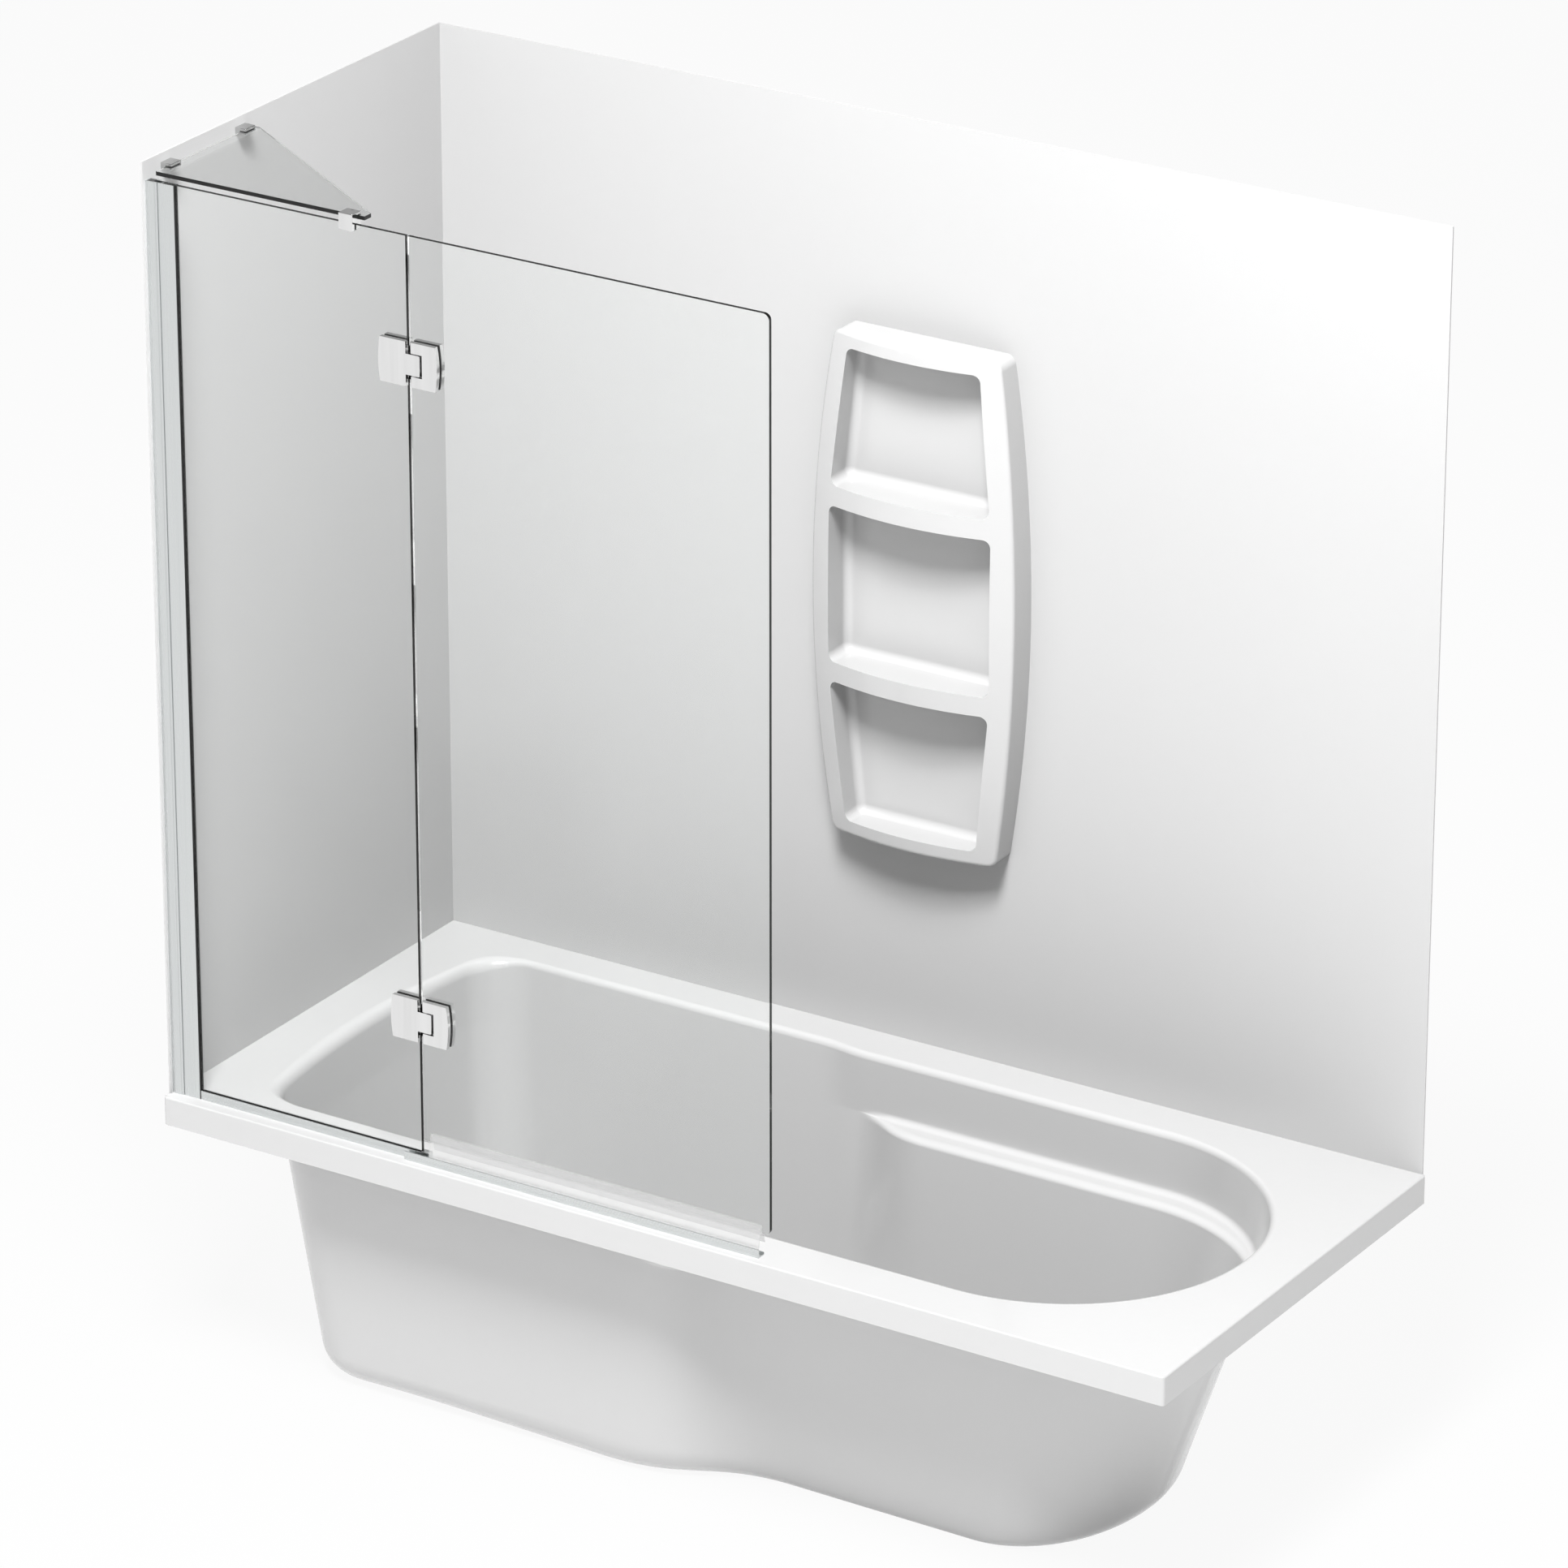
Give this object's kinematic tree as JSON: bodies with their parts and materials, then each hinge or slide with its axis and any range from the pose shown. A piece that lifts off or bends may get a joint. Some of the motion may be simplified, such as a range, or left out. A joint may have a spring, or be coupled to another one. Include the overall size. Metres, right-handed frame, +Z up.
{
  "type": "shower bath",
  "caption": "Rectangular shower bath with a wider shower end, two wall lining sheets, a moulded three-niche shelf and a hinged glass bath screen with a glass brace.",
  "frame": {"origin": "on the floor, under the middle of the bath's length and width", "axes": "+Z up, +X along the bath to the right from the shower end, +Y towards the back wall"},
  "size_m": [1.7, 0.76, 1.92],
  "materials": {
    "bath_acrylic": "glossy white cast acrylic",
    "lining_acrylic": "glossy white acrylic sheet",
    "clear_glass": "clear toughened glass, polished edges",
    "profile_aluminium": "bright anodised",
    "polished_chrome": "polished",
    "stainless_steel": "plain",
    "black_rubber": "matt black",
    "dark_plastic": "matt dark grey",
    "clear_seal": "clear soft plastic"
  },
  "bodies": {
    "bath": {"bath_shell": "bath_acrylic", "waste_washer": "black_rubber", "waste_flange": "polished_chrome", "left_wall_panel": "lining_acrylic", "back_wall_panel": "lining_acrylic", "wall_shelf": "bath_acrylic", "wall_channel": "profile_aluminium", "glass_channel": "profile_aluminium", "profile_cap": "dark_plastic", "glazing_gasket": "black_rubber", "wall_channel_screws": "stainless_steel", "profile_screws": "stainless_steel", "bottom_channel": "profile_aluminium", "bottom_gasket": "black_rubber", "channel_end_block": "profile_aluminium", "fixed_glass": "clear_glass", "sill_strip": "profile_aluminium", "brace_glass": "clear_glass", "wall_clamp_front": "polished_chrome", "wall_clamp_rear": "polished_chrome", "wall_clamp_screws": "stainless_steel", "wall_clamp_pads": "black_rubber", "wall_clamp_grub_screws": "stainless_steel", "glass_clamp": "polished_chrome", "glass_clamp_pads": "black_rubber", "glass_clamp_grub_screws": "stainless_steel", "lower_hinge_outer_fixed_leaf": "polished_chrome", "lower_hinge_inner_fixed_leaf": "polished_chrome", "lower_hinge_fixed_gaskets": "black_rubber", "lower_hinge_pin": "stainless_steel", "lower_hinge_fixed_screws": "stainless_steel", "upper_hinge_outer_fixed_leaf": "polished_chrome", "upper_hinge_inner_fixed_leaf": "polished_chrome", "upper_hinge_fixed_gaskets": "black_rubber", "upper_hinge_pin": "stainless_steel", "upper_hinge_fixed_screws": "stainless_steel"},
    "swing_panel": {"swing_glass": "clear_glass", "bottom_seal": "clear_seal", "lower_hinge_outer_moving_leaf": "polished_chrome", "lower_hinge_inner_moving_leaf": "polished_chrome", "lower_hinge_moving_gaskets": "black_rubber", "lower_hinge_moving_screws": "stainless_steel", "upper_hinge_outer_moving_leaf": "polished_chrome", "upper_hinge_inner_moving_leaf": "polished_chrome", "upper_hinge_moving_gaskets": "black_rubber", "upper_hinge_moving_screws": "stainless_steel"},
    "plug": {"waste_plug": "polished_chrome", "plug_ring": "stainless_steel"}
  },
  "joints": [
    {"name": "screen_swing", "type": "hinge", "parent": "bath", "child": "swing_panel", "pos_m": [-0.389, -0.353, 1.2], "axis": [0, 0, 1], "range_deg": [0, 90]},
    {"name": "plug_lift", "type": "slide", "parent": "bath", "child": "plug", "axis": [0, 0, 1], "range_m": [0, 0.06]}
  ]
}
